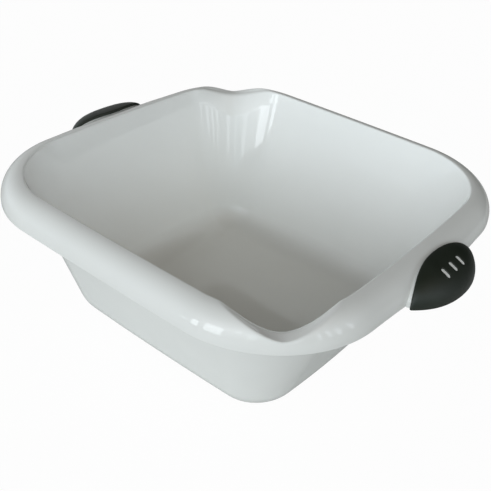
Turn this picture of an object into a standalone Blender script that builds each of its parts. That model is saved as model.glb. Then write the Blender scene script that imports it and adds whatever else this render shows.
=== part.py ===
"""Square washing-up basin with two pouring corners and a soft grip on each handle lug.

Metres, +Z up. The origin is the middle of the flat base, which rests on z = 0. The handles
are on the +X and -X sides. The pouring corners are at (+X, -Y) and (-X, +Y), so the whole
shape repeats under a half turn about Z.
"""

import math

import bmesh
import bpy

# Basin: plan of the rim, with its sides bowed out in the middle
RIM_HALF_LENGTH = 0.175
RIM_HALF_WIDTH = 0.1735
RIM_CORNER_RADIUS = 0.089
HANDLE_SIDE_BOW = 0.0063
PLAIN_SIDE_BOW = 0.0018

# Basin: height and the section of the rolled rim
HEIGHT = 0.140
WALL = 0.0024
RIM_WIDTH = 0.020
RIM_INNER_EDGE = 0.0026
CREST_INSET = 0.017
RIM_DROP = 0.0187
LIP_SKIRT = 0.0026

# Basin: the base, as the outline where the leaning outer walls would meet z = 0
BASE_HALF_LENGTH = 0.111
BASE_HALF_WIDTH = 0.110
BASE_CORNER_RADIUS = 0.029
BASE_FILLET = 0.034
FLOOR_CORNER_RADIUS = 0.0046

# Pouring corner: a groove across the rim, with a flared way down to the inside
SPOUT_DEPTH = 0.0115
SPOUT_HALF_WIDTH_OUTSIDE = 0.029
SPOUT_HALF_WIDTH_INSIDE = 0.040
SPOUT_FLARE = 0.008
SPOUT_FLARE_RADIUS = 0.008
SPOUT_FLARE_SLOPE = math.radians(45)
SPOUT_BLEND = 0.002
SPOUT_POINT_POWER_OUTSIDE = 1.6
SPOUT_POINT_POWER_INSIDE = 2.0
SPOUT_SHOULDER_POWER_OUTSIDE = 1.2
SPOUT_SHOULDER_POWER_INSIDE = 1.0
FLARE_START = 0.05
EDGE_RUN = 0.009

# Handle: the lug is an arch that runs out of the roll, and the lip sweeps out towards it
LUG_HALF_LENGTH = 0.0455
LUG_SWEEP = 0.0017
LUG_SWEEP_REACH = 0.050
LUG_TOP_DROP = 0.0026
LUG_BLEND = 0.0015
LUG_EDGE_STEP = 0.0012
ARCH_POWER = 3

# Handle: the grip is a sleeve that lies on the outer part of the lug
GRIP_HALF_LENGTH = 0.0464
GRIP_EDGE_INSET = 0.0068
GRIP_REACH = 0.0248
GRIP_TIP_REACH = 0.0047
GRIP_TIP_WIDTH = 0.0014
GRIP_NOSE_SHARE = 2 / 3
GRIP_THICKNESS = 0.0022
GRIP_FOOT = 0.0006
FIT_GAP = 0.0003

# Handle: bars of the lug that show through slots in the grip
BAR_COUNT = 3
BAR_PITCH = 0.01147
BAR_FROM_LIP = 0.0074
BAR_LENGTH = 0.0077
BAR_WIDTH = 0.0032
BAR_SINK = 0.0003
CUT_OVERRUN = 0.002

# Number of steps that each stretch is cut into
FILLET_STEPS = 4
EDGE_STEPS = 3
ROLL_STEPS = 5
UNDER_STEPS = 4
SHELL_STEPS = 5
PLAIN_CORNER_STEPS = 8
SPOUT_CORNER_STEPS = 16
BAR_END_STEPS = 3

# Places along the lug and the grip, as shares of the grip's half length
SHELL_SHARES = (0.0, 0.3, 0.54, 0.72, 0.82, 0.875)
SHELL_CLOSED_SHARE = 0.885
HOLLOW_END_SHARE = 0.94
LUG_TIP_SHARES = (0.96, 0.974)
LUG_SIDE_SHARE = 0.99
GRIP_POCKET_END_SHARES = (0.895, 0.905)
GRIP_TIP_SHARES = (0.95, 0.98, 0.997)

BASIN_COLOUR = (0.80, 0.83, 0.83, 1.0)
BASIN_ROUGHNESS = 0.22
GRIP_COLOUR = (0.012, 0.015, 0.012, 1.0)
GRIP_ROUGHNESS = 0.55

# Heights and thicknesses that follow from the sizes above
WALL_TOP = HEIGHT - RIM_INNER_EDGE
LIP_TOP = HEIGHT - RIM_DROP
LIP_BOTTOM = LIP_TOP - LIP_SKIRT
GRIP_BASE = LIP_BOTTOM + GRIP_FOOT
LUG_TOP = HEIGHT - LUG_TOP_DROP
GRIP_ROOM = GRIP_THICKNESS + FIT_GAP
GRIP_TOP = LUG_TOP + GRIP_ROOM
LUG_END_SHARE = LUG_HALF_LENGTH / GRIP_HALF_LENGTH
HOLLOW_SHARES = SHELL_SHARES + (SHELL_CLOSED_SHARE, HOLLOW_END_SHARE)
LUG_SHARES = HOLLOW_SHARES + LUG_TIP_SHARES + (LUG_END_SHARE,)
GRIP_SHARES = SHELL_SHARES + GRIP_POCKET_END_SHARES + GRIP_TIP_SHARES


def lean_of_wall():
    """Angle of the walls from upright: the inner wall's top is one wall inside the outer one."""
    inner_top = RIM_HALF_LENGTH - RIM_WIDTH
    lean = 0.0
    for _ in range(8):
        lean = math.atan2(inner_top + WALL / math.cos(lean) - BASE_HALF_LENGTH, WALL_TOP)
    return lean


LEAN = lean_of_wall()
WALL_ACROSS = WALL / math.cos(LEAN)
LENGTH_LEAN = math.tan(LEAN)
WIDTH_LEAN = (RIM_HALF_WIDTH - RIM_WIDTH + WALL_ACROSS - BASE_HALF_WIDTH) / WALL_TOP
CORNER_LEAN = (RIM_CORNER_RADIUS - RIM_WIDTH + WALL_ACROSS - BASE_CORNER_RADIUS) / WALL_TOP
WALL_TURN = math.pi / 2 - LEAN
EDGE_REACH = RIM_WIDTH - CREST_INSET - RIM_INNER_EDGE * LENGTH_LEAN
EDGE_RADIUS = EDGE_REACH / math.tan(WALL_TURN / 2)


def soft_min(first, second, blend):
    """The lower of two heights, with the crease between them rounded."""
    near = max(blend - abs(first - second), 0.0) / blend
    return min(first, second) - near * near * blend / 4


def soft_max(first, second, blend):
    """The higher of two heights, with the crease between them rounded."""
    return -soft_min(-first, -second, blend)


def quarter_turns(steps):
    """Angles from the first step up to a quarter turn."""
    return [math.pi / 2 * (step + 1) / steps for step in range(steps)]


def between(outside, inside, share):
    """A size on the way from the lip to the inside of the rim."""
    return outside * (1 - share) + inside * share


def arch(top, share):
    """Height of an arch over the handle, whose ends stand on the lip."""
    return GRIP_BASE + (top - GRIP_BASE) * math.sqrt(max(1 - abs(share) ** ARCH_POWER, 0.0))


def lug_height(share):
    """Top of the lug, at a share of the grip's half length."""
    return arch(LUG_TOP, share / LUG_END_SHARE)


def grip_edge(share):
    """X of the line on the lug where the grip begins."""
    return RIM_HALF_LENGTH - GRIP_EDGE_INSET + (GRIP_EDGE_INSET + GRIP_TIP_REACH) * share**2


def grip_nose(share):
    """X of the grip's outermost line."""
    fall = GRIP_NOSE_SHARE * share**2 + (1 - GRIP_NOSE_SHARE) * share**4
    return RIM_HALF_LENGTH + GRIP_REACH - (GRIP_REACH - GRIP_TIP_REACH - GRIP_TIP_WIDTH) * fall


def grip_height(x, y):
    """Height of the grip's outer surface, a quarter of an ellipse at each place along it."""
    share = y / GRIP_HALF_LENGTH
    edge = grip_edge(share)
    out = min((x - edge) / (grip_nose(share) - edge), 1.0)
    return GRIP_BASE + (arch(GRIP_TOP, share) - GRIP_BASE) * math.sqrt(1 - out**2)


class Station:
    """One place round the basin: along the handle side, the corner or the plain side."""

    def __init__(self, zone, share, mirrored, turned):
        self.zone = zone
        self.share = share
        self.mirrored = mirrored
        self.turned = turned
        self.lug = share if zone == "handle" and share <= LUG_END_SHARE else None
        bend = math.sin(abs(share - 0.5) * math.pi / 2)
        self.spout_bend = bend if zone == "corner" and mirrored else None
        self.flare = self.groove_share(CREST_INSET)
        self.crest_inset = CREST_INSET - SPOUT_FLARE * self.flare

    def place(self, half_length, half_width, radius, z):
        """Point on a bowed rounded rectangle."""
        if self.zone == "handle":
            x, y = half_length, self.share * GRIP_HALF_LENGTH
        elif self.zone == "corner":
            angle = self.share * math.pi / 2
            x = half_length - radius + radius * math.cos(angle)
            y = half_width - radius + radius * math.sin(angle)
        else:
            x, y = 0, half_width
        bow_x = HANDLE_SIDE_BOW * (y / half_width) ** 2 * x / half_length
        bow_y = PLAIN_SIDE_BOW * (x / half_length) ** 2 * y / half_width
        return self.whole(x - bow_x, y - bow_y, z)

    def whole(self, x, y, z):
        """Carry a point of the first quarter to the station's own quarter."""
        if self.mirrored:
            x = -x
        if self.turned:
            x, y = -x, -y
        return x, y, z

    def rim_place(self, inset, z):
        """Point on the rim, inwards from the lip, which sweeps out towards the lug."""
        x, y, z = self.place(
            RIM_HALF_LENGTH - inset, RIM_HALF_WIDTH - inset, RIM_CORNER_RADIUS - inset, z
        )
        away = max(abs(y) - LUG_HALF_LENGTH, 0.0) / LUG_SWEEP_REACH
        share = max(1 - away, 0.0) ** 2 * max(1 - inset / CREST_INSET, 0.0)
        return x + math.copysign(LUG_SWEEP * share, x), y, z

    def lug_place(self, x, z):
        """Point on the lug at a distance from the basin's middle."""
        return self.whole(x, abs(self.rim_place(0, 0)[1]), z)

    def groove_share(self, inset):
        """Depth of the pouring groove here: 1 on its axis, 0 from its shoulders out."""
        if self.spout_bend is None:
            return 0.0
        share = inset / CREST_INSET
        half = between(SPOUT_HALF_WIDTH_OUTSIDE, SPOUT_HALF_WIDTH_INSIDE, share)
        point = between(SPOUT_POINT_POWER_OUTSIDE, SPOUT_POINT_POWER_INSIDE, share)
        shoulder = between(SPOUT_SHOULDER_POWER_OUTSIDE, SPOUT_SHOULDER_POWER_INSIDE, share)
        across = (RIM_CORNER_RADIUS - inset) * self.spout_bend / half
        return max(1 - across**point, 0.0) ** shoulder

    def rim_height(self, inset, skin):
        """Height of the rim's top, or of its underside where skin is the wall."""
        reach = (CREST_INSET - inset) / (CREST_INSET - skin)
        z = LIP_TOP + (RIM_DROP - skin) * math.sqrt(max(1 - reach**2, 0.0))
        groove = self.groove_share(inset)
        if groove:
            bottom = HEIGHT + SPOUT_BLEND - (SPOUT_DEPTH + SPOUT_BLEND) * groove
            z = soft_min(z, bottom - skin, SPOUT_BLEND)
        return z

    def lug_surface(self, inset, skin):
        """Height where the rim's top runs on into the lug."""
        level = lug_height(self.lug) - skin
        if inset < skin:
            return level
        return min(soft_max(self.rim_height(inset, skin), level, LUG_BLEND), HEIGHT - skin)

    def has_hollow(self):
        return self.lug is not None and self.lug <= HOLLOW_END_SHARE

    def has_shell(self):
        return self.lug is not None and self.lug <= SHELL_SHARES[-1]


def fillet_stretch(station, inwards, floor, radius):
    """From the floor round to the wall, on an arc that touches both."""
    reach = radius * math.tan(WALL_TURN / 2)
    half_length = BASE_HALF_LENGTH + LENGTH_LEAN * floor - inwards - reach
    half_width = BASE_HALF_WIDTH + WIDTH_LEAN * floor - inwards - reach
    top = floor + reach * math.cos(LEAN)
    corner_growth = BASE_CORNER_RADIUS + CORNER_LEAN * top - inwards - FLOOR_CORNER_RADIUS
    points = []
    for step in range(FILLET_STEPS + 1):
        angle = WALL_TURN * step / FILLET_STEPS
        out = radius * math.sin(angle)
        corner = FLOOR_CORNER_RADIUS + corner_growth * math.sin(angle) / math.cos(LEAN)
        rise = radius * (1 - math.cos(angle))
        points.append(station.place(half_length + out, half_width + out, corner, floor + rise))
    return points


def edge_stretch(station, skin):
    """From the inner wall over its rounded top edge to the crest, or one skin below that.

    In a pouring corner a straight slope leads from the wall up to a wider rounding.
    """
    crest, flare = station.crest_inset, station.flare
    top = station.rim_height(crest, 0)
    radius = EDGE_RADIUS + (SPOUT_FLARE_RADIUS - EDGE_RADIUS) * flare
    turn = WALL_TURN + (SPOUT_FLARE_SLOPE - WALL_TURN) * flare
    arc = []
    for step in range(EDGE_STEPS, -1, -1):
        angle = turn * step / EDGE_STEPS
        inset = crest + (radius - skin) * math.sin(angle)
        arc.append((inset, top - radius + (radius - skin) * math.cos(angle)))
    inset, z = arc[0]
    wall_top = RIM_WIDTH - (WALL_ACROSS if skin else 0)
    room = wall_top + (WALL_TOP - z) * LENGTH_LEAN - inset
    run = room / (1 / math.tan(turn) - LENGTH_LEAN) if flare > FLARE_START else EDGE_RUN
    foot = (inset + run / math.tan(turn), z - run)
    return [station.rim_place(*point) for point in [foot] + arc]


def roll_stretch(station):
    """From the crest out over the roll to the lip, or along the lug to the grip's edge."""
    points = []
    crest = station.crest_inset
    lip_x, crest_x = abs(station.rim_place(0, 0)[0]), abs(station.rim_place(crest, 0)[0])
    for angle in quarter_turns(ROLL_STEPS):
        if station.lug is None:
            inset = crest * (1 - math.sin(angle))
            points.append(station.rim_place(inset, station.rim_height(inset, 0)))
        else:
            end = min(lip_x, grip_edge(station.lug) - LUG_EDGE_STEP)
            x = crest_x + (end - crest_x) * math.sin(angle)
            inset = crest * (lip_x - x) / (lip_x - crest_x)
            points.append(station.lug_place(x, station.lug_surface(inset, 0)))
    return points


def outer_stretch(station):
    """Down the skirt of the lip. On the lug, out to its edge and over the shell in the grip."""
    count = SHELL_STEPS + 2
    if station.lug is None:
        drops = [LIP_SKIRT * (step + 1) / count for step in range(count)]
        return [station.rim_place(0, LIP_TOP - drop) for drop in drops]
    edge, top = grip_edge(station.lug), lug_height(station.lug)
    points = [station.lug_place(edge, top)]
    if not station.has_shell():
        for step in range(1, count):
            points.append(station.lug_place(edge, top - (top - LIP_BOTTOM) * step / (count - 1)))
        return points
    reach = grip_nose(station.lug) - edge - GRIP_ROOM
    for angle in quarter_turns(SHELL_STEPS):
        z = GRIP_BASE + (top - GRIP_BASE) * math.cos(angle)
        points.append(station.lug_place(edge + reach * math.sin(angle), z))
    points.append(station.lug_place(edge + reach, LIP_BOTTOM))
    return points


def inner_stretch(station):
    """Back up the inside of the skirt, or of the lug's shell and end."""
    count = SHELL_STEPS + 2
    if not station.has_hollow():
        rises = [LIP_SKIRT * step / (count - 1) for step in range(count)]
        return [station.rim_place(WALL, LIP_BOTTOM + rise) for rise in rises]
    edge = grip_edge(station.lug) - WALL
    under = lug_height(station.lug) - WALL
    if not station.has_shell():
        heights = [LIP_BOTTOM + (under - LIP_BOTTOM) * step / (count - 1) for step in range(count)]
        return [station.lug_place(edge, height) for height in heights]
    reach = grip_nose(station.lug) - grip_edge(station.lug) - GRIP_ROOM
    points = [station.lug_place(edge + reach, LIP_BOTTOM)]
    for angle in quarter_turns(SHELL_STEPS)[::-1]:
        z = GRIP_BASE + (under - GRIP_BASE) * math.cos(angle)
        points.append(station.lug_place(edge + reach * math.sin(angle), z))
    points.append(station.lug_place(edge, under))
    return points


def under_stretch(station):
    """Along the underside of the roll, or of the lug, in to the crest."""
    points = []
    crest = station.crest_inset
    lip_x, crest_x = abs(station.rim_place(0, 0)[0]), abs(station.rim_place(crest, 0)[0])
    for angle in quarter_turns(UNDER_STEPS)[-2::-1]:
        if station.has_hollow():
            x = crest_x + (grip_edge(station.lug) - WALL - crest_x) * math.sin(angle)
            inset = crest * (lip_x - x) / (lip_x - crest_x)
            points.append(station.lug_place(x, station.lug_surface(inset, WALL)))
        else:
            inset = crest - (crest - WALL) * math.sin(angle)
            points.append(station.rim_place(inset, station.rim_height(inset, WALL)))
    return points


def basin_stretch(station):
    """The whole section of the basin here, from the inner floor round to the base."""
    inside = fillet_stretch(station, WALL_ACROSS, WALL, BASE_FILLET - WALL)
    over = edge_stretch(station, 0) + roll_stretch(station) + outer_stretch(station)
    under = inner_stretch(station) + under_stretch(station) + edge_stretch(station, WALL)[::-1]
    outside = fillet_stretch(station, 0, 0, BASE_FILLET)[::-1]
    return inside + over + under + outside


def quarter_stations(mirrored, turned):
    """Stations of one quarter, from the middle of the handle side to that of the plain side."""
    steps = SPOUT_CORNER_STEPS if mirrored else PLAIN_CORNER_STEPS
    places = [("handle", share) for share in LUG_SHARES + (LUG_SIDE_SHARE,)]
    places += [("corner", step / steps) for step in range(steps + 1)]
    places.append(("plain", 1))
    return [Station(zone, share, mirrored, turned) for zone, share in places]


def basin_rings():
    """Rings of points round the basin, from the inner floor to the base."""
    stations = []
    for turned in (False, True):
        stations += quarter_stations(False, turned)
        stations += quarter_stations(True, turned)[-2:0:-1]
    return [list(ring) for ring in zip(*map(basin_stretch, stations))]


def half_turn(point, turned):
    """Carry a point of the right-hand handle to the left-hand one."""
    x, y, z = point
    return (-x, -y, z) if turned else point


def grip_section(share, side, turned):
    """Closed section across the grip at one place along it."""
    start = grip_edge(share) + FIT_GAP
    nose, top = grip_nose(share), arch(GRIP_TOP, share)
    section = [(start, top)]
    for angle in quarter_turns(SHELL_STEPS):
        x = start + (nose - start) * math.sin(angle)
        section.append((x, GRIP_BASE + (top - GRIP_BASE) * math.cos(angle)))
    section.append((nose, LIP_BOTTOM))
    if share <= GRIP_POCKET_END_SHARES[0]:
        reach = nose - start - GRIP_THICKNESS
        rise = lug_height(share) + FIT_GAP - GRIP_BASE
        section.append((start + reach, LIP_BOTTOM))
        for angle in quarter_turns(SHELL_STEPS)[::-1] + [0.0]:
            x = start + reach * math.sin(angle)
            section.append((x, GRIP_BASE + rise * math.cos(angle)))
    else:
        steps = SHELL_STEPS + 2
        section += [(start, LIP_BOTTOM + (top - LIP_BOTTOM) * step / steps)
                    for step in range(steps)]
    y = side * share * GRIP_HALF_LENGTH
    return [half_turn((x, y, z), turned) for x, z in section]


def grip_rings(turned):
    """Sections of the grip from one tip to the other."""
    near = [grip_section(share, -1, turned) for share in GRIP_SHARES[::-1]]
    far = [grip_section(share, 1, turned) for share in GRIP_SHARES[1:]]
    return near + far


def bar_rings(y, clearance, above, below, turned):
    """Sections along one bar, or along its slot where there is a clearance."""
    half = BAR_WIDTH / 2 + clearance
    start = RIM_HALF_LENGTH + BAR_FROM_LIP - clearance
    length = BAR_LENGTH + clearance * 2
    ends = [(half * (1 - math.cos(angle)), half * math.sin(angle))
            for angle in quarter_turns(BAR_END_STEPS)]
    rings = []
    for run, width in ends + [(length - run, width) for run, width in ends[::-1]]:
        x = start + run
        top, bottom = grip_height(x, y) + above, grip_height(x, y) - below
        corners = [(x, y - width, bottom), (x, y + width, bottom),
                   (x, y + width, top), (x, y - width, top)]
        rings.append([half_turn(corner, turned) for corner in corners])
    return rings


def bars(clearance, above, below, turned):
    """The bars of one handle, or their slots."""
    middle = (BAR_COUNT - 1) / 2
    places = [(index - middle) * BAR_PITCH for index in range(BAR_COUNT)]
    return [bar_rings(y, clearance, above, below, turned) for y in places]


def loop_edges(mesh, loop):
    return [mesh.edges.get(pair) for pair in zip(loop, loop[1:] + loop[:1])]


def add_skin(mesh, rings):
    """Close a body over a row of rings: fill the first, extrude to each next, fill the last."""
    loop = [mesh.verts.new(point) for point in rings[0]]
    made = [mesh.edges.new(pair) for pair in zip(loop, loop[1:] + loop[:1])]
    bmesh.ops.contextual_create(mesh, geom=made)
    for ring in rings[1:]:
        fresh = set(bmesh.ops.extrude_edge_only(mesh, edges=loop_edges(mesh, loop))["geom"])
        loop = [next(edge.other_vert(vert) for edge in vert.link_edges
                     if edge.other_vert(vert) in fresh) for vert in loop]
        for vert, point in zip(loop, ring):
            vert.co = point
    bmesh.ops.contextual_create(mesh, geom=loop_edges(mesh, loop))


def add_object(name, bodies):
    """Object made of closed bodies, each given as a row of rings."""
    mesh = bmesh.new()
    for rings in bodies:
        add_skin(mesh, rings)
    bmesh.ops.recalc_face_normals(mesh, faces=mesh.faces)
    data = bpy.data.meshes.new(name)
    mesh.to_mesh(data)
    mesh.free()
    piece = bpy.data.objects.new(name, data)
    bpy.context.scene.collection.objects.link(piece)
    return piece


def finish_piece(piece, colour, roughness):
    """Give a piece its own material and smooth shading."""
    material = bpy.data.materials.new(piece.name)
    material.use_nodes = True
    shader = material.node_tree.nodes["Principled BSDF"]
    shader.inputs["Base Color"].default_value = colour
    shader.inputs["Roughness"].default_value = roughness
    shader.inputs["Metallic"].default_value = 0.0
    piece.data.materials.append(material)
    piece.data.shade_smooth()
    piece.data.set_sharp_from_angle(angle=math.radians(40))


def combine(piece, name, operation, bodies):
    """Join bars to the lug, or cut slots in the grip."""
    tool = add_object(name, bodies)
    tool.hide_render = True
    tool.display_type = "WIRE"
    modifier = piece.modifiers.new(name, "BOOLEAN")
    modifier.operation = operation
    modifier.solver = "EXACT"
    modifier.object = tool


for old in list(bpy.data.objects):
    bpy.data.objects.remove(old)

basin = add_object("basin_body", [basin_rings()])
finish_piece(basin, BASIN_COLOUR, BASIN_ROUGHNESS)
for side_name, is_turned in (("right", False), ("left", True)):
    lug_bars = bars(0, -BAR_SINK, GRIP_ROOM + WALL / 2, is_turned)
    combine(basin, "bars_" + side_name, "UNION", lug_bars)
    grip = add_object("grip_" + side_name, [grip_rings(is_turned)])
    finish_piece(grip, GRIP_COLOUR, GRIP_ROUGHNESS)
    slots = bars(FIT_GAP, CUT_OVERRUN, GRIP_THICKNESS + CUT_OVERRUN, is_turned)
    combine(grip, "slots_" + side_name, "DIFFERENCE", slots)
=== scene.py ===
import math

import bmesh
import bpy
from mathutils import Matrix, Vector


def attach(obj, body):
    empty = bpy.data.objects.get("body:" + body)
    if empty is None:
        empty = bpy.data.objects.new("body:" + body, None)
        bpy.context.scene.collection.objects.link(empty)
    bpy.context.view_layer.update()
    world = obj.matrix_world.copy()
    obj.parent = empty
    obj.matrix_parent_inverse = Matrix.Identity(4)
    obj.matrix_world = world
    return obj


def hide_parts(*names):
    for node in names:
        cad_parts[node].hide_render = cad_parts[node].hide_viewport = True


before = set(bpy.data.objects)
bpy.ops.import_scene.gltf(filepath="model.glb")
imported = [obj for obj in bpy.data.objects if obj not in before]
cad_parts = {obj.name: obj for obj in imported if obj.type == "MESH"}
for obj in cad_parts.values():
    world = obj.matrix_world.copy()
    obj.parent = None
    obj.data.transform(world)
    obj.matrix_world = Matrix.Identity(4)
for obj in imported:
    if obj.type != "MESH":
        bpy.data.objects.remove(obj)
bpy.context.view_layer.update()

# ---------------------------------------------------------------------------------------------
# BOWL. The whole white basin is one polypropylene moulding: a flat base, four leaning walls, a
# rolled rim, two pouring corners on one diagonal and a hollow lug for the hand on each side. It
# is injection moulded in a polished mould, with the same 2.4 mm wall everywhere.
# ---------------------------------------------------------------------------------------------

# Plan of the lip, with its sides bowed out in the middle
RIM_HALF_LENGTH = 0.175
RIM_HALF_WIDTH = 0.1735
RIM_CORNER_RADIUS = 0.089
HANDLE_SIDE_BOW = 0.0063
PLAIN_SIDE_BOW = 0.0018

# Height, wall and the section of the rolled rim
HEIGHT = 0.140
WALL = 0.0024
RIM_WIDTH = 0.020
RIM_INNER_EDGE = 0.0026
CREST_INSET = 0.018
UNDER_CREST_INSET = 0.017
RIM_DROP = 0.0187
LIP_SKIRT = 0.0026
LIP_ROUND = 0.0005

# Base, as the outline where the leaning outer walls would meet the ground
BASE_HALF_LENGTH = 0.111
BASE_HALF_WIDTH = 0.110
BASE_CORNER_RADIUS = 0.029
BASE_FILLET = 0.034
FLOOR_CORNER_RADIUS = 0.0046

# Pouring corner: a groove across the rim, with a flared way down to the inside
SPOUT_DEPTH = 0.0115
SPOUT_HALF_WIDTH_OUTSIDE = 0.029
SPOUT_HALF_WIDTH_INSIDE = 0.040
SPOUT_CREST_INSET = 0.009
SPOUT_INNER_INSET = 0.017
SPOUT_FLARE_RADIUS = 0.008
SPOUT_FLARE_SLOPE = math.radians(45)
SPOUT_BLEND = 0.002
SPOUT_POINT_POWER_OUTSIDE = 1.6
SPOUT_POINT_POWER_INSIDE = 2.0
SPOUT_SHOULDER_POWER_OUTSIDE = 1.2
SPOUT_SHOULDER_POWER_INSIDE = 1.0
FLARE_START = 0.05
EDGE_RUN = 0.009

# Lug: an arch that runs out of the roll, with a shell that the grip lies on
LUG_HALF_LENGTH = 0.0455
LUG_SWEEP = 0.0017
LUG_SWEEP_REACH = 0.050
LUG_TOP = HEIGHT - 0.0026
LUG_BLEND = 0.0012
LUG_EDGE_STEP = 0.0012
LUG_END_ROUND = 0.0004
LUG_HOLLOW_HALF_LENGTH = 0.0437
SHELL_HALF_LENGTH = 0.0406
ARCH_POWER = 3

# Grip sizes that the lug's shell follows
GRIP_HALF_LENGTH = 0.0464
GRIP_EDGE = 0.1682
GRIP_EDGE_SWEEP = 0.0115
GRIP_NOSE = 0.1998
GRIP_NOSE_SWEEP = 0.0187
GRIP_THICKNESS = 0.0022
FIT_GAP = 0.0003

# Heights and slopes that follow from the sizes above
WALL_TOP = HEIGHT - RIM_INNER_EDGE
LIP_TOP = HEIGHT - RIM_DROP
LIP_BOTTOM = LIP_TOP - LIP_SKIRT
GRIP_BASE = LIP_BOTTOM + 0.0006
GRIP_ROOM = GRIP_THICKNESS + FIT_GAP
GRIP_TOP = LUG_TOP + GRIP_ROOM
LEAN = math.atan(0.33865)
WALL_ACROSS = WALL / math.cos(LEAN)
LENGTH_LEAN = math.tan(LEAN)
WIDTH_LEAN = (RIM_HALF_WIDTH - RIM_WIDTH + WALL_ACROSS - BASE_HALF_WIDTH) / WALL_TOP
CORNER_LEAN = (RIM_CORNER_RADIUS - RIM_WIDTH + WALL_ACROSS - BASE_CORNER_RADIUS) / WALL_TOP
WALL_TURN = math.pi / 2 - LEAN
EDGE_REACH = RIM_WIDTH - RIM_INNER_EDGE * LENGTH_LEAN
EDGE_RADIUS = (EDGE_REACH - CREST_INSET) / math.tan(WALL_TURN / 2)
UNDER_REACH = EDGE_REACH - WALL_ACROSS + WALL * LENGTH_LEAN
UNDER_EDGE_RADIUS = (UNDER_REACH - UNDER_CREST_INSET) / math.tan(WALL_TURN / 2)

# Finish: how far down from the crest, and up from the ground, the surface is rubbed
RUB_BELOW_CREST = 0.003
RUB_UP_FOOT = 0.006

# How finely each stretch of the moulding is followed
FLOOR_SHARES = (0.06, 0.3, 0.6, 0.85, 0.97)
FILLET_STEPS = 14
WALL_SHARES = (0.03, 0.25, 0.5, 0.75, 0.97)
EDGE_STEPS = 9
ROLL_STEPS = 22
SKIRT_STEPS = 3
ROUND_STEPS = 4
UNDER_STEPS = 12
LUG_STEPS = 44
HANDLE_STEPS = 7
PLAIN_CORNER_STEPS = 30
SPOUT_CORNER_STEPS = 64
PLAIN_STEPS = 7


def turns(full, steps):
    """Angles from the first step up to a full turn."""
    return [full * (step + 1) / steps for step in range(steps)]


def soft_min(first, second, blend):
    """The lower of two heights, with the crease between them rounded."""
    near = max(blend - abs(first - second), 0.0) / blend
    return min(first, second) - near * near * blend / 4


def between(outside, inside, share):
    """A size on the way from the lip to the inside of the rim."""
    return outside * (1 - share) + inside * share


def arch(top, share):
    """Height of an arch over the handle, whose ends stand on the lip."""
    return GRIP_BASE + (top - GRIP_BASE) * math.sqrt(max(1 - abs(share) ** ARCH_POWER, 0.0))


def lug_height(y):
    return arch(LUG_TOP, y / LUG_HALF_LENGTH)


def grip_edge(y):
    """Distance from the basin's middle at which the grip begins."""
    return GRIP_EDGE + GRIP_EDGE_SWEEP * (y / GRIP_HALF_LENGTH) ** 2


def grip_nose(y):
    """Distance from the basin's middle of the grip's outermost line."""
    share = abs(y) / GRIP_HALF_LENGTH
    return GRIP_NOSE - GRIP_NOSE_SWEEP * (share**2 * 2 + share**4) / 3


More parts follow.
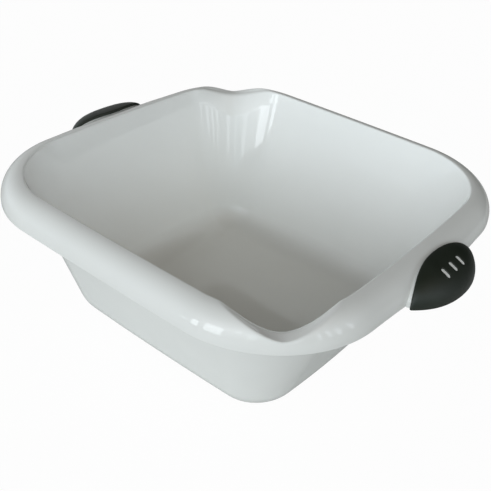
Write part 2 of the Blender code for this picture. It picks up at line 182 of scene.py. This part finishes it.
class Place:
    """One place round the moulding, which gives the section there."""

    def __init__(self, side, run, mirrored, turned):
        self.side = side
        self.run = run
        self.mirrored = mirrored
        self.turned = turned
        self.on_lug = side == "lug"
        self.hollow = self.on_lug and run <= LUG_HOLLOW_HALF_LENGTH
        self.shell = self.on_lug and run <= SHELL_HALF_LENGTH
        bend = math.sin(abs(run - 0.5) * math.pi / 2)
        self.spout_bend = bend if side == "corner" and mirrored else None
        self.flare = self.groove_share(SPOUT_INNER_INSET)

    def outline(self, half_length, half_width, radius, z):
        """Point on a rounded rectangle with bowed sides."""
        if self.side == "lug":
            x, y = half_length, self.run
        elif self.side == "handle":
            start = LUG_HALF_LENGTH + LUG_END_ROUND
            x, y = half_length, start + (half_width - radius - start) * self.run
        elif self.side == "corner":
            angle = self.run * math.pi / 2
            x = half_length - radius + radius * math.cos(angle)
            y = half_width - radius + radius * math.sin(angle)
        else:
            x, y = (half_length - radius) * (1 - self.run), half_width
        bow_x = HANDLE_SIDE_BOW * (y / half_width) ** 2 * x / half_length
        bow_y = PLAIN_SIDE_BOW * (x / half_length) ** 2 * y / half_width
        return self.whole(x - bow_x, y - bow_y, z)

    def whole(self, x, y, z):
        """Carry a point of the first quarter to the quarter of this place."""
        if self.mirrored:
            x = -x
        if self.turned:
            x, y = -x, -y
        return Vector((x, y, z))

    def rim(self, inset, z):
        """Point on the rim, inwards from the lip, which sweeps out towards the lug."""
        point = self.outline(
            RIM_HALF_LENGTH - inset, RIM_HALF_WIDTH - inset, RIM_CORNER_RADIUS - inset, z
        )
        away = max(abs(point.y) - LUG_HALF_LENGTH, 0.0) / LUG_SWEEP_REACH
        share = max(1 - away, 0.0) ** 2 * max(1 - inset / CREST_INSET, 0.0)
        return point + self.whole(LUG_SWEEP * share, 0, 0)

    def lug(self, x, z):
        """Point on the lug at a distance from the basin's middle."""
        return self.whole(x, abs(self.rim(0, 0)[1]), z)

    def crest(self, skin):
        """Inset of the rim's highest line, on its top or on its underside."""
        plain = UNDER_CREST_INSET if skin else CREST_INSET
        return plain + (SPOUT_CREST_INSET - plain) * self.flare

    def groove_share(self, inset):
        """Depth of the pouring groove here: 1 on its axis, 0 from its shoulders out."""
        if self.spout_bend is None:
            return 0.0
        share = inset / SPOUT_INNER_INSET
        half = between(SPOUT_HALF_WIDTH_OUTSIDE, SPOUT_HALF_WIDTH_INSIDE, share)
        point = between(SPOUT_POINT_POWER_OUTSIDE, SPOUT_POINT_POWER_INSIDE, share)
        shoulder = between(SPOUT_SHOULDER_POWER_OUTSIDE, SPOUT_SHOULDER_POWER_INSIDE, share)
        across = (RIM_CORNER_RADIUS - inset) * self.spout_bend / half
        return max(1 - across**point, 0.0) ** shoulder

    def rim_height(self, inset, skin):
        """Height of the rim's top, or of its underside where skin is the wall."""
        crest = UNDER_CREST_INSET if skin else CREST_INSET
        reach = (crest - inset) / (crest - skin)
        z = LIP_TOP + (RIM_DROP - skin) * math.sqrt(max(1 - reach**2, 0.0))
        groove = self.groove_share(inset)
        if groove:
            bottom = HEIGHT + SPOUT_BLEND - (SPOUT_DEPTH + SPOUT_BLEND) * groove
            z = soft_min(z, bottom - skin, SPOUT_BLEND)
        return z

    def lug_surface(self, inset, skin):
        """Height where the rim's top runs on into the lug."""
        level = lug_height(self.run) - skin
        if inset < skin:
            return level
        joined = -soft_min(-self.rim_height(inset, skin), -level, LUG_BLEND)
        return min(joined, HEIGHT - skin)

    def fillet(self, inwards, floor, radius):
        """From the floor round to the wall, on an arc that touches both."""
        reach = radius * math.tan(WALL_TURN / 2)
        half_length = BASE_HALF_LENGTH + LENGTH_LEAN * floor - inwards - reach
        half_width = BASE_HALF_WIDTH + WIDTH_LEAN * floor - inwards - reach
        top = floor + reach * math.cos(LEAN)
        growth = BASE_CORNER_RADIUS + CORNER_LEAN * top - inwards - FLOOR_CORNER_RADIUS
        points = []
        for angle in [0.0] + turns(WALL_TURN, FILLET_STEPS):
            out = radius * math.sin(angle)
            corner = FLOOR_CORNER_RADIUS + growth * math.sin(angle) / math.cos(LEAN)
            rise = radius * (1 - math.cos(angle))
            points.append(self.outline(half_length + out, half_width + out, corner, floor + rise))
        middle = Vector((0, 0, floor))
        return [middle.lerp(points[0], share) for share in FLOOR_SHARES] + points

    def edge(self, skin):
        """From the wall over its rounded top edge to the crest, or one skin below that."""
        crest = self.crest(skin)
        top = self.rim_height(crest, skin)
        radius = UNDER_EDGE_RADIUS if skin else EDGE_RADIUS
        radius += (SPOUT_FLARE_RADIUS - skin - radius) * self.flare
        turn = WALL_TURN + (SPOUT_FLARE_SLOPE - WALL_TURN) * self.flare
        arc = []
        for angle in turns(turn, EDGE_STEPS)[::-1] + [0.0]:
            arc.append((crest + radius * math.sin(angle), top - radius * (1 - math.cos(angle))))
        inset, z = arc[0]
        wall_top = RIM_WIDTH - (WALL_ACROSS if skin else 0)
        room = wall_top + (WALL_TOP - z) * LENGTH_LEAN - inset
        run = EDGE_RUN
        if self.flare > FLARE_START:
            run = room / (1 / math.tan(turn) - LENGTH_LEAN)
        foot = (inset + run / math.tan(turn), z - run)
        return [self.rim(*point) for point in [foot] + arc]

    def roll(self):
        """From the crest out over the roll to the lip, or along the lug to the grip's edge."""
        crest = self.crest(0)
        lip_x, crest_x = abs(self.rim(0, 0)[0]), abs(self.rim(crest, 0)[0])
        points = []
        for angle in turns(math.pi / 2, ROLL_STEPS):
            if self.on_lug:
                end = min(lip_x, grip_edge(self.run) - LUG_EDGE_STEP)
                x = crest_x + (end - crest_x) * math.sin(angle)
                inset = crest * (lip_x - x) / (lip_x - crest_x)
                points.append(self.lug(x, self.lug_surface(inset, 0)))
            else:
                inset = crest * (1 - math.sin(angle))
                points.append(self.rim(inset, self.rim_height(inset, 0)))
        return points

    def outer(self):
        """Down the skirt of the lip and round its edge. On the lug, over the shell in the grip."""
        count = SKIRT_STEPS + ROUND_STEPS
        if not self.on_lug:
            drop = LIP_SKIRT - LIP_ROUND
            points = [self.rim(0, LIP_TOP - drop * (step + 1) / SKIRT_STEPS)
                      for step in range(SKIRT_STEPS)]
            for angle in turns(math.pi / 2, ROUND_STEPS):
                inset = LIP_ROUND * (1 - math.cos(angle))
                points.append(self.rim(inset, LIP_BOTTOM + LIP_ROUND * (1 - math.sin(angle))))
            return points
        edge, top = grip_edge(self.run), lug_height(self.run)
        if not self.shell:
            drop = (top - LIP_BOTTOM) / (count - 1)
            return [self.lug(edge, top - drop * step) for step in range(count)]
        reach = grip_nose(self.run) - edge - GRIP_ROOM
        points = [self.lug(edge, top)]
        for angle in turns(math.pi / 2, count - 2):
            z = GRIP_BASE + (top - GRIP_BASE) * math.cos(angle)
            points.append(self.lug(edge + reach * math.sin(angle), z))
        return points + [self.lug(edge + reach, LIP_BOTTOM)]

    def inner(self):
        """Back up the inside of the skirt, or of the lug's shell and end."""
        count = SKIRT_STEPS + ROUND_STEPS + 1
        if not self.hollow:
            points = []
            for angle in [0.0] + turns(math.pi / 2, ROUND_STEPS):
                inset = WALL - LIP_ROUND * (1 - math.sin(angle))
                points.append(self.rim(inset, LIP_BOTTOM + LIP_ROUND * (1 - math.cos(angle))))
            start, rise = LIP_BOTTOM + LIP_ROUND, LIP_SKIRT - LIP_ROUND
            return points + [self.rim(WALL, start + rise * (step + 1) / SKIRT_STEPS)
                             for step in range(SKIRT_STEPS)]
        edge = grip_edge(self.run) - WALL
        under = lug_height(self.run) - WALL
        if not self.shell:
            rise = (under - LIP_BOTTOM) / (count - 1)
            return [self.lug(edge, LIP_BOTTOM + rise * step) for step in range(count)]
        reach = grip_nose(self.run) - grip_edge(self.run) - GRIP_ROOM
        points = [self.lug(edge + reach, LIP_BOTTOM)]
        for angle in turns(math.pi / 2, count - 2)[::-1]:
            z = GRIP_BASE + (under - GRIP_BASE) * math.cos(angle)
            points.append(self.lug(edge + reach * math.sin(angle), z))
        return points + [self.lug(edge, under)]

    def underside(self):
        """Along the underside of the roll, or of the lug, in to the crest."""
        crest = self.crest(WALL)
        lip_x, crest_x = abs(self.rim(0, 0)[0]), abs(self.rim(crest, 0)[0])
        points = []
        for angle in turns(math.pi / 2, UNDER_STEPS)[-2::-1]:
            if self.hollow:
                x = crest_x + (grip_edge(self.run) - WALL - crest_x) * math.sin(angle)
                inset = crest * (lip_x - x) / (lip_x - crest_x)
                points.append(self.lug(x, self.lug_surface(inset, WALL)))
            else:
                inset = crest - (crest - WALL) * math.sin(angle)
                points.append(self.rim(inset, self.rim_height(inset, WALL)))
        return points

    def section(self):
        """The whole section here, from the middle of the floor round to that of the base."""
        inside = self.fillet(WALL_ACROSS, WALL, BASE_FILLET - WALL)
        over = self.edge(0)
        up = [inside[-1].lerp(over[0], share) for share in WALL_SHARES]
        outside = self.fillet(0, 0, BASE_FILLET)[::-1]
        under = self.inner() + self.underside() + self.edge(WALL)[::-1]
        down = [under[-1].lerp(outside[0], share) for share in WALL_SHARES]
        return inside + up + over + self.roll() + self.outer() + under + down + outside


def quarter_places(mirrored, turned):
    """Places of one quarter, from the middle of the handle side to that of the plain side."""
    quarter = math.pi / 2
    lug = [LUG_HALF_LENGTH * math.sin(angle) for angle in [0.0] + turns(quarter, LUG_STEPS)]
    corner_steps = SPOUT_CORNER_STEPS if mirrored else PLAIN_CORNER_STEPS
    places = [("lug", run) for run in lug]
    places += [("handle", step / HANDLE_STEPS) for step in range(HANDLE_STEPS)]
    places += [("corner", step / corner_steps) for step in range(corner_steps + 1)]
    places += [("plain", (step + 1) / PLAIN_STEPS) for step in range(PLAIN_STEPS)]
    return [Place(side, run, mirrored, turned) for side, run in places]


def moulding_rings():
    """Rings of points round the whole moulding, in the order of its section."""
    places = []
    for turned in (False, True):
        places += quarter_places(False, turned)
        places += quarter_places(True, turned)[-2:0:-1]
    return [list(ring) for ring in zip(*(place.section() for place in places))]


def ring_edges(mesh, ring):
    return [mesh.edges.get(pair) for pair in zip(ring, ring[1:] + ring[:1])]


def draw_skin(mesh, rings):
    """Start from a circle, extrude it from ring to ring and close both ends."""
    loop = bmesh.ops.create_circle(mesh, segments=len(rings[0]), radius=1)["verts"]
    for vert, point in zip(loop, rings[0]):
        vert.co = point
    bmesh.ops.contextual_create(mesh, geom=ring_edges(mesh, loop))
    for ring in rings[1:]:
        new = bmesh.ops.extrude_edge_only(mesh, edges=ring_edges(mesh, loop))["geom"]
        fresh = {item for item in new if isinstance(item, bmesh.types.BMVert)}
        loop = [next(edge.other_vert(vert) for edge in vert.link_edges
                     if edge.other_vert(vert) in fresh) for vert in loop]
        for vert, point in zip(loop, ring):
            vert.co = point
    bmesh.ops.contextual_create(mesh, geom=ring_edges(mesh, loop))


def new_piece(name, mesh, material, sharp_angle=math.radians(40)):
    """Object from a finished mesh, smooth but for edges sharper than the angle."""
    bmesh.ops.recalc_face_normals(mesh, faces=mesh.faces)
    data = bpy.data.meshes.new(name)
    mesh.to_mesh(data)
    mesh.free()
    data.shade_smooth()
    data.set_sharp_from_angle(angle=sharp_angle)
    data.materials.append(material)
    piece = bpy.data.objects.new(name, data)
    bpy.context.scene.collection.objects.link(piece)
    return piece


def linear(colour):
    """sRGB hex colour as linear light."""
    parts = [int(colour[index:index + 2], 16) / 255 for index in (1, 3, 5)]
    return [part / 12.92 if part < 0.04045 else ((part + 0.055) / 1.055) ** 2.4
            for part in parts] + [1.0]


def add_node(tree, kind, inputs=(), **settings):
    """Add a node with its settings. An input is a value, or the output that feeds it."""
    node = tree.nodes.new(kind)
    for name, value in settings.items():
        setattr(node, name, value)
    for name, value in dict(inputs).items():
        if isinstance(value, bpy.types.NodeSocket):
            tree.links.new(value, node.inputs[name])
        else:
            node.inputs[name].default_value = value
    return node


def white_polypropylene():
    """Polypropylene copolymer, injection moulded in a polished mould.

    It gives the eye a cool, slightly milky white with sharp but gently wavy reflections, finely
    scuffed where hands and dishes rub: on the crest of the rim, the floor and the foot.
    """
    material = bpy.data.materials.new("moulded white polypropylene")
    material.use_nodes = True
    tree = material.node_tree
    shader = tree.nodes["Principled BSDF"]
    coordinates = add_node(tree, "ShaderNodeTexCoord")
    place = coordinates.outputs["Object"]

    # Flow of the melt: patches about 60 mm across, barely lighter and darker
    flow = add_node(tree, "ShaderNodeTexNoise", {"Vector": place, "Scale": 16.0, "Detail": 2.0})
    # Painted light and shade: a darker outer copy and a paler inner copy of the same white
    painted_shade_outer = add_node(tree, "ShaderNodeMix", {
        "Factor": flow.outputs["Fac"], 6: linear("#E6E6E2"), 7: linear("#EAEAE6"),
    }, data_type="RGBA")
    painted_light_inner = add_node(tree, "ShaderNodeMix", {
        "Factor": flow.outputs["Fac"], 6: linear("#F5F6F3"), 7: linear("#F9FAF7"),
    }, data_type="RGBA")

    # Painted light and shade: the inside of the walls is painted paler than the outside, and the
    # floor and foot greyer, to match the levels in one light. Which light makes this isn't known,
    # and these painted tones stay the same in any other light
    around = add_node(tree, "ShaderNodeVectorMath", {0: place, 1: (1, 1, 0)}, operation="MULTIPLY")
    outwards = add_node(tree, "ShaderNodeVectorMath", {
        0: around.outputs["Vector"],
    }, operation="NORMALIZE")
    facing = add_node(tree, "ShaderNodeVectorMath", {
        0: outwards.outputs["Vector"], 1: coordinates.outputs["Normal"],
    }, operation="DOT_PRODUCT")
    inside = add_node(tree, "ShaderNodeMapRange", {
        "Value": facing.outputs["Value"], "From Min": 0.2, "From Max": -0.6,
    })
    painted_light_wall_tone = add_node(tree, "ShaderNodeMix", {
        "Factor": inside.outputs["Result"], 6: painted_shade_outer.outputs[2], 7: painted_light_inner.outputs[2],
    }, data_type="RGBA")
    # Painted shade: greyer towards the bottom, wholly grey on the floor and the lowest 2.4 mm
    # outside
    height = add_node(tree, "ShaderNodeSeparateXYZ", {"Vector": place}).outputs["Z"]
    rise = add_node(tree, "ShaderNodeMapRange", {
        "Value": height, "From Min": WALL, "From Max": WALL * 9,
    })
    tone = add_node(tree, "ShaderNodeMix", {
        "Factor": rise.outputs["Result"], 6: linear("#DDDCD7"), 7: painted_light_wall_tone.outputs[2],
    }, data_type="RGBA")

    # Rubbed places: a noise of about 3 mm, kept to the crest, the foot and the floor
    crest = add_node(tree, "ShaderNodeMapRange", {
        "Value": height, "From Min": HEIGHT - RUB_BELOW_CREST, "From Max": HEIGHT,
    })
    foot = add_node(tree, "ShaderNodeMapRange", {
        "Value": height, "From Min": RUB_UP_FOOT, "From Max": 0.0,
    })
    rub = add_node(tree, "ShaderNodeMath", {
        0: crest.outputs["Result"], 1: foot.outputs["Result"],
    }, operation="MAXIMUM")
    scuffs = add_node(tree, "ShaderNodeTexNoise", {
        "Vector": place, "Scale": 330.0, "Detail": 3.0, "Roughness": 0.7,
    })
    worn = add_node(tree, "ShaderNodeMath", {
        0: rub.outputs["Value"], 1: scuffs.outputs["Fac"],
    }, operation="MULTIPLY")
    gloss = add_node(tree, "ShaderNodeMapRange", {
        "Value": worn.outputs["Value"], "To Min": 0.03, "To Max": 0.14,
    })

    # The mould's polish: ripples about 25 mm long, and a grain about 1 mm across that is drawn
    # coarser than the real one so that it shows
    ripple = add_node(tree, "ShaderNodeTexNoise", {"Vector": place, "Scale": 40.0, "Detail": 1.0})
    grain = add_node(tree, "ShaderNodeTexNoise", {"Vector": place, "Scale": 900.0, "Detail": 2.0})
    waves = add_node(tree, "ShaderNodeBump", {
        "Strength": 0.35, "Distance": 0.0004, "Height": ripple.outputs["Fac"],
    })
    finish = add_node(tree, "ShaderNodeBump", {
        "Strength": 0.1, "Distance": 0.00002, "Height": grain.outputs["Fac"],
        "Normal": waves.outputs["Normal"],
    })
    tree.links.new(tone.outputs[2], shader.inputs["Base Color"])
    tree.links.new(gloss.outputs["Result"], shader.inputs["Roughness"])
    tree.links.new(finish.outputs["Normal"], shader.inputs["Normal"])
    shader.inputs["IOR"].default_value = 1.49
    return material


polypropylene = white_polypropylene()
bowl_mesh = bmesh.new()
draw_skin(bowl_mesh, moulding_rings())
bowl = new_piece("bowl", bowl_mesh, polypropylene)
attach(bowl, "root")
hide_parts("basin_body")

# ---------------------------------------------------------------------------------------------
# GRIPS. A sleeve of black thermoplastic elastomer is moulded over the outer part of each lug. It
# stands proud of the white lug by its own thickness, and three slots let bars of the lug through.
# ---------------------------------------------------------------------------------------------

# Sleeve, whose pocket is a little longer than the lug's shell
GRIP_TIP_SHARE = 0.9995
GRIP_EDGE_ROUND = 0.0011
POCKET_HALF_LENGTH = SHELL_HALF_LENGTH + 0.0008
GRIP_SECTIONS = 56
GRIP_ROUND_STEPS = 6
GRIP_DOME_STEPS = 26
POCKET_STEPS = 12

# Bars of the lug and their slots
BAR_PITCH = 0.01147
BAR_START = 0.1824
BAR_LENGTH = 0.0077
BAR_WIDTH = 0.0032
BAR_SINK = 0.0003
BAR_DEPTH = 0.0037
BAR_ROUND = 0.0004
BAR_END_STEPS = 8
BAR_SHARP_ANGLE = math.radians(50)
BAR_RIM_DROP = 0.003
SLOT_OVERRUN = 0.002


def grip_top_height(x, y):
    """Height of the grip's outer surface, a quarter of an ellipse at each place along it."""
    edge = grip_edge(y)
    out = min((x - edge) / (grip_nose(y) - edge), 1.0)
    return GRIP_BASE + (arch(GRIP_TOP, y / GRIP_HALF_LENGTH) - GRIP_BASE) * math.sqrt(1 - out**2)


def grip_section(y, turned):
    """Closed section across the grip: its edge, its dome and the pocket that takes the shell."""
    start, nose = grip_edge(y) + FIT_GAP, grip_nose(y)
    top = arch(GRIP_TOP, y / GRIP_HALF_LENGTH)
    seat = lug_height(y) + FIT_GAP
    soft = min(GRIP_EDGE_ROUND, (top - GRIP_BASE) / 3, (nose - start) / 3)
    section = []
    for angle in [0.0] + turns(math.pi / 2, GRIP_ROUND_STEPS):
        x = start + soft * (1 - math.cos(angle))
        section.append((x, grip_top_height(x, y) - soft * (1 - math.sin(angle))))
    for angle in turns(math.pi / 2, GRIP_DOME_STEPS):
        x = start + soft + (nose - start - soft) * math.sin(angle)
        section.append((x, grip_top_height(x, y)))
    section.append((nose, LIP_BOTTOM))
    if abs(y) < POCKET_HALF_LENGTH:
        reach = nose - start - GRIP_THICKNESS
        section.append((start + reach, LIP_BOTTOM))
        for angle in turns(math.pi / 2, POCKET_STEPS)[::-1] + [0.0]:
            z = GRIP_BASE + (seat - GRIP_BASE) * math.cos(angle)
            section.append((start + reach * math.sin(angle), z))
    else:
        foot = max(min(seat, top - soft), LIP_BOTTOM)
        section += [(nose + (start - nose) * (step + 1) / POCKET_STEPS, LIP_BOTTOM)
                    for step in range(POCKET_STEPS)]
        section.append((start, LIP_BOTTOM + (foot - LIP_BOTTOM) / 2))
        section.append((start, foot))
    points = [(x, y, z) for x, z in section]
    return [Vector((-x, -y, z)) if turned else Vector((x, y, z)) for x, y, z in points]


def grip_rings(turned):
    """Sections of the grip from one tip to the other, closer together near the tips."""
    places = []
    for step in range(-GRIP_SECTIONS, GRIP_SECTIONS + 1):
        share = math.sin(step / GRIP_SECTIONS * math.pi / 2)
        places.append(GRIP_HALF_LENGTH * GRIP_TIP_SHARE * share)
    return [grip_section(y, turned) for y in places]


def bar_rings(y, clearance, above, below, turned):
    """Outline of one bar, or of its slot where there is a clearance, from its foot to its top."""
    half = BAR_WIDTH / 2 + clearance
    length = BAR_LENGTH + clearance * 2
    outline = []
    for end in (0, 1):
        for step in range(BAR_END_STEPS + 1):
            angle = math.pi * (step / BAR_END_STEPS + end - 0.5)
            run = length / 2 + (length / 2 - half) * (1 - end * 2) + half * math.cos(angle)
            outline.append((BAR_START - clearance + run, y + half * math.sin(angle)))
    rings = []
    for lift in (-below, above):
        ring = [(x, across, grip_top_height(x, y) + lift) for x, across in outline]
        rings.append([Vector((-x, -w, z)) if turned else Vector((x, w, z)) for x, w, z in ring])
    return rings


def black_elastomer():
    """Thermoplastic elastomer, overmoulded in a spark-eroded mould.

    It gives the eye a soft, warm black with a dull sheen and a fine grain.
    """
    material = bpy.data.materials.new("grained black elastomer")
    material.use_nodes = True
    tree = material.node_tree
    shader = tree.nodes["Principled BSDF"]
    place = add_node(tree, "ShaderNodeTexCoord").outputs["Object"]

    # Dust and hand marks, in patches about 12 mm across
    patches = add_node(tree, "ShaderNodeTexNoise", {"Vector": place, "Scale": 80.0, "Detail": 3.0})
    tone = add_node(tree, "ShaderNodeMix", {
        "Factor": patches.outputs["Fac"], 6: linear("#181F16"), 7: linear("#21281F"),
    }, data_type="RGBA")
    gloss = add_node(tree, "ShaderNodeMapRange", {
        "Value": patches.outputs["Fac"], "To Min": 0.42, "To Max": 0.56,
    })

    # The grain of the mould, about 0.4 mm across
    grain = add_node(tree, "ShaderNodeTexNoise", {"Vector": place, "Scale": 2500.0, "Detail": 2.0})
    finish = add_node(tree, "ShaderNodeBump", {
        "Strength": 0.4, "Distance": 0.00005, "Height": grain.outputs["Fac"],
    })
    tree.links.new(tone.outputs[2], shader.inputs["Base Color"])
    tree.links.new(gloss.outputs["Result"], shader.inputs["Roughness"])
    tree.links.new(finish.outputs["Normal"], shader.inputs["Normal"])
    shader.inputs["IOR"].default_value = 1.5
    return material


elastomer = black_elastomer()
for side_name, is_turned in (("right", False), ("left", True)):
    grip_mesh = bmesh.new()
    draw_skin(grip_mesh, grip_rings(is_turned))
    grip = new_piece("grip_sleeve_" + side_name, grip_mesh, elastomer)
    slot_mesh = bmesh.new()
    bar_mesh = bmesh.new()
    for index in (-1, 0, 1):
        y = index * BAR_PITCH
        depth = GRIP_THICKNESS + SLOT_OVERRUN
        draw_skin(slot_mesh, bar_rings(y, FIT_GAP, SLOT_OVERRUN, depth, is_turned))
        draw_skin(bar_mesh, bar_rings(y, 0, -BAR_SINK, BAR_DEPTH, is_turned))
    slots = new_piece("slots_" + side_name, slot_mesh, elastomer)
    cut = grip.modifiers.new("slots", "BOOLEAN")
    cut.operation = "DIFFERENCE"
    cut.solver = "EXACT"
    cut.object = slots
    cut_mesh = bpy.data.meshes.new_from_object(
        grip.evaluated_get(bpy.context.evaluated_depsgraph_get())
    )
    grip.modifiers.clear()
    grip.data = cut_mesh
    bpy.data.objects.remove(slots)
    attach(grip, "root")
    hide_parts("grip_" + side_name)
    rims = []
    for edge in bar_mesh.edges:
        first, second = (vert.co.z for vert in edge.verts)
        if edge.calc_face_angle(0) > BAR_SHARP_ANGLE and abs(first - second) < BAR_RIM_DROP:
            rims.append(edge)
    bmesh.ops.bevel(
        bar_mesh, geom=rims, offset=BAR_ROUND, offset_type="OFFSET", segments=3, profile=0.5,
        affect="EDGES", material=-1,
    )
    bar = new_piece("lug_bars_" + side_name, bar_mesh, polypropylene, BAR_SHARP_ANGLE)
    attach(bar, "root")
    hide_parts("basin_body")

# ---------------------------------------------------------------------------------------------
# GROUND AND LIGHT. A plain white card under the basin, in soft light from all round. Tall soft
# panels stand far off: two broad ones on the -Y side, and narrow ones from there round to +X.
# ---------------------------------------------------------------------------------------------


def white_ground():
    """Matt white card. The eye sees it white, with the basin's own soft shadow on it."""
    material = bpy.data.materials.new("matt white card")
    material.use_nodes = True
    tree = material.node_tree
    shader = tree.nodes["Principled BSDF"]
    shader.inputs["Base Color"].default_value = linear("#E6E6E4")
    shader.inputs["Roughness"].default_value = 0.9
    rays = add_node(tree, "ShaderNodeLightPath")
    glow = add_node(tree, "ShaderNodeEmission", {"Strength": 1.0})
    seen = add_node(tree, "ShaderNodeMath", {
        0: rays.outputs["Is Camera Ray"], 1: 0.97,
    }, operation="MULTIPLY")
    mixed = add_node(tree, "ShaderNodeMixShader", {
        "Fac": seen.outputs["Value"], 1: shader.outputs["BSDF"], 2: glow.outputs["Emission"],
    })
    tree.links.new(mixed.outputs["Shader"], tree.nodes["Material Output"].inputs["Surface"])
    return material


GROUND_HALF_LENGTH = 1.6
ground_mesh = bmesh.new()
bmesh.ops.create_grid(ground_mesh, x_segments=1, y_segments=1, size=GROUND_HALF_LENGTH)
ground = new_piece("ground", ground_mesh, white_ground())

# Soft light from around: azimuth from +X, height, sharpness, strength and tint of each part
SOFT_LIGHT = (
    (-165, 8, 8, 1.1, "#F2FBFF"),
    (-130, 8, 8, 0.45, "#ECF6FF"),
    (-85, 26, 12, 1.9, "#FAFBFF"),
    (-53, 26, 12, 1.15, "#DFF6FF"),
    (15, 26, 12, 0.9, "#E6F0FF"),
    (0, 52, 8, 0.4, "#FFE2B8"),
    (150, 10, 8, 0.45, "#FFFFFF"),
)

# Tall soft panels far off: azimuth of the middle, width, lower and upper edge in degrees, strength
PANEL_DISTANCE = 8.0
PANELS = (
    (-118.0, 1.5, -2, 5, 3.0),
    (-108.6, 6.4, -3, 17, 4.7),
    (-91.5, 16.0, -3, 25.5, 4.0),
    (-71.0, 4.0, 22, 32, 2.6),
    (-60.0, 7.0, 6, 28, 1.4),
    (-43.0, 2.0, 4, 28, 1.6),
    (-29.0, 6.0, 6, 30, 1.7),
    (-10.0, 2.8, 0, 24, 2.0),
    (-1.5, 3.4, 2, 28, 2.1),
    (7.0, 4.2, 2, 26, 2.1),
    (18.5, 3.4, 2, 26, 1.9),
)


def towards(azimuth, height):
    """Unit vector from the basin towards a place in the room, from its angles in degrees."""
    around, above = math.radians(azimuth), math.radians(height)
    across = math.cos(above)
    return Vector((across * math.cos(around), across * math.sin(around), math.sin(above)))


world = bpy.data.worlds.new("soft light all round")
world.use_nodes = True
room = world.node_tree
rays = add_node(room, "ShaderNodeLightPath")
way = add_node(room, "ShaderNodeTexCoord").outputs["Generated"]
light = None
for azimuth, height, sharpness, strength, tint in SOFT_LIGHT:
    facing = add_node(room, "ShaderNodeVectorMath", {
        0: way, 1: towards(azimuth, height),
    }, operation="DOT_PRODUCT")
    offset = add_node(room, "ShaderNodeMath", {
        0: facing.outputs["Value"], 1: sharpness, 2: -sharpness,
    }, operation="MULTIPLY_ADD")
    share = add_node(room, "ShaderNodeMath", {0: offset.outputs["Value"]}, operation="EXPONENT")
    colour = [part * strength for part in linear(tint)[:3]]
    light = add_node(room, "ShaderNodeVectorMath", {
        0: share.outputs["Value"], 1: colour, 2: light.outputs["Vector"] if light else (0, 0, 0),
    }, operation="MULTIPLY_ADD")
seen = add_node(room, "ShaderNodeMix", {
    "Factor": rays.outputs["Is Camera Ray"], 6: light.outputs["Vector"], 7: (1, 1, 1, 1),
}, data_type="RGBA")
room.links.new(seen.outputs[2], room.nodes["Background"].inputs["Color"])
bpy.context.scene.world = world

for azimuth, width, low, high, strength in PANELS:
    panel = bpy.data.lights.new("panel", "AREA")
    panel.shape = "RECTANGLE"
    panel.size = PANEL_DISTANCE * math.radians(width)
    panel.size_y = PANEL_DISTANCE * math.radians(high - low)
    panel.energy = strength * math.pi * panel.size * panel.size_y
    panel.color = linear("#F2FAFF")[:3]
    holder = bpy.data.objects.new("panel", panel)
    out = towards(azimuth, (low + high) / 2)
    holder.location = out * PANEL_DISTANCE
    holder.rotation_euler = (-out).to_track_quat("-Z", "Y").to_euler()
    bpy.context.scene.collection.objects.link(holder)

# Camera, high up and in front of the near pouring corner, tipped a little to its left
CAMERA_PLACE = (0.33144, -0.44568, 0.43123)
CAMERA_AZIMUTH = -53.284
CAMERA_RISE = 33.429
CAMERA_TIP = math.radians(4.967)
camera_data = bpy.data.cameras.new("camera")
camera_data.lens = 54.39
camera_data.sensor_width = 36
camera = bpy.data.objects.new("camera", camera_data)
back = towards(CAMERA_AZIMUTH, CAMERA_RISE)
level = Vector((0, 0, 1)).cross(back).normalized()
upright = back.cross(level)
right = level * math.cos(CAMERA_TIP) + upright * math.sin(CAMERA_TIP)
up = upright * math.cos(CAMERA_TIP) - level * math.sin(CAMERA_TIP)
view = Matrix((right, up, back)).transposed().to_4x4()
view.translation = CAMERA_PLACE
camera.matrix_world = view
bpy.context.scene.collection.objects.link(camera)
bpy.context.scene.camera = camera
bpy.context.scene.view_settings.view_transform = "Standard"
